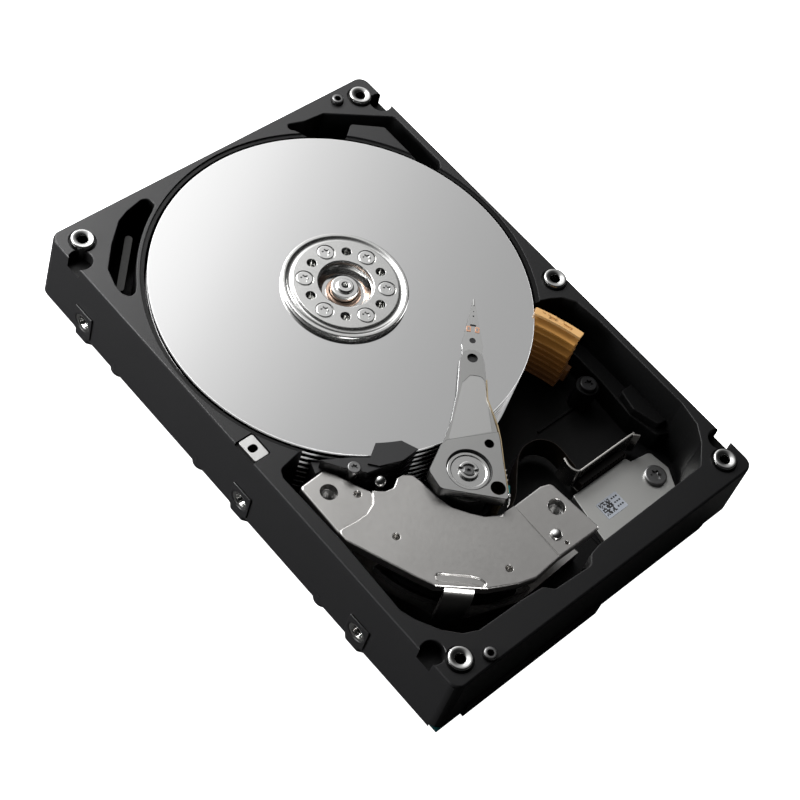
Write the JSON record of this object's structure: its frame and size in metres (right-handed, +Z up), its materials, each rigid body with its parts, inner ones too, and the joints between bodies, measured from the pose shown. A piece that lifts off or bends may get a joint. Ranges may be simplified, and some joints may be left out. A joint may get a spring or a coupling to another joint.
{
  "type": "hard disk drive",
  "caption": "Open 3.5 inch hard disk drive: turning platter stack, swinging head arms with a flat motor, load ramp, flex ribbon and circuit board in a cast base.",
  "frame": {"origin": "under the middle of the case, on the plane its mounting bosses rest on", "axes": "+Z up out of the open case, -Y towards the connector end, +X towards the load ramp's side"},
  "size_m": [0.1016, 0.147, 0.0255],
  "materials": {
    "casting": "satin black coat over cast aluminium",
    "bushing_steel": "bright turned nickel",
    "insert_steel": "turned",
    "dowel_steel": "ground",
    "clip_steel": "satin",
    "disk": "mirror",
    "spacer": "satin",
    "clamp": "fine satin",
    "screw_bright": "satin",
    "screw_dark": "satin",
    "hub": "turned",
    "bearing_bronze": "turned",
    "magnet": "nickel",
    "shaft": "ground",
    "motor_base": "machined",
    "laminations": "dark",
    "copper": "enamelled",
    "carriage": "satin",
    "sleeve": "ground",
    "beam_steel": "satin",
    "slider": "matt ceramic",
    "piezo": "matt ceramic",
    "frame_resin": "matt",
    "circuit_film": "satin film",
    "ribbon": "satin film",
    "bracket_steel": "satin",
    "header": "matt",
    "header_plate": "fine brushed",
    "label": "printed film",
    "yoke": "satin nickel",
    "ramp_resin": "satin",
    "damper": "matt",
    "filter": "fibrous",
    "board": "lacquered",
    "chip": "matt",
    "socket": "satin"
  },
  "bodies": {
    "base": {"base_casting": "casting", "cover_bushings": "bushing_steel", "side_inserts": "insert_steel", "locating_dowels": "dowel_steel", "ground_clip": "clip_steel", "spindle_shaft": "shaft", "motor_base": "motor_base", "stator_core": "laminations", "stator_coils": "copper", "pivot_shaft": "shaft", "pivot_screw": "screw_dark", "flex_cable": "ribbon", "flex_bracket": "bracket_steel", "flex_header": "header", "header_plate": "header_plate", "header_label": "label", "bracket_screw": "screw_dark", "vcm_top_plate": "yoke", "vcm_bottom_plate": "yoke", "vcm_top_magnet": "magnet", "vcm_bottom_magnet": "magnet", "vcm_posts": "sleeve", "vcm_dome_pin": "screw_bright", "crash_stop_pin": "dowel_steel", "load_ramp": "ramp_resin", "ramp_screw": "screw_dark", "disk_damper": "damper", "damper_screw": "screw_bright", "air_filter": "filter", "circuit_board": "board", "board_chips": "chip", "board_screws": "screw_bright", "sata_connector": "socket"},
    "rotor": {"platters": "disk", "spacer_rings": "spacer", "disk_clamp": "clamp", "clamp_screws": "screw_bright", "spindle_hub": "hub", "bearing_sleeve": "bearing_bronze", "rotor_magnet": "magnet"},
    "actuator": {"carriage": "carriage", "pivot_sleeve": "sleeve", "load_beams": "beam_steel", "head_sliders": "slider", "piezo_actuators": "piezo", "voice_coil": "copper", "coil_frame": "frame_resin", "arm_circuit": "circuit_film"}
  },
  "joints": [
    {"name": "spindle_spin", "type": "hinge", "parent": "base", "child": "rotor", "pos_m": [0, 0.022, 0], "axis": [0, 0, 1], "continuous": true},
    {"name": "actuator_swing", "type": "hinge", "parent": "base", "child": "actuator", "pos_m": [-0.0107, -0.034, 0], "axis": [0, 0, 1], "range_deg": [-27, 14.5], "deforming": ["flex_cable"]}
  ]
}
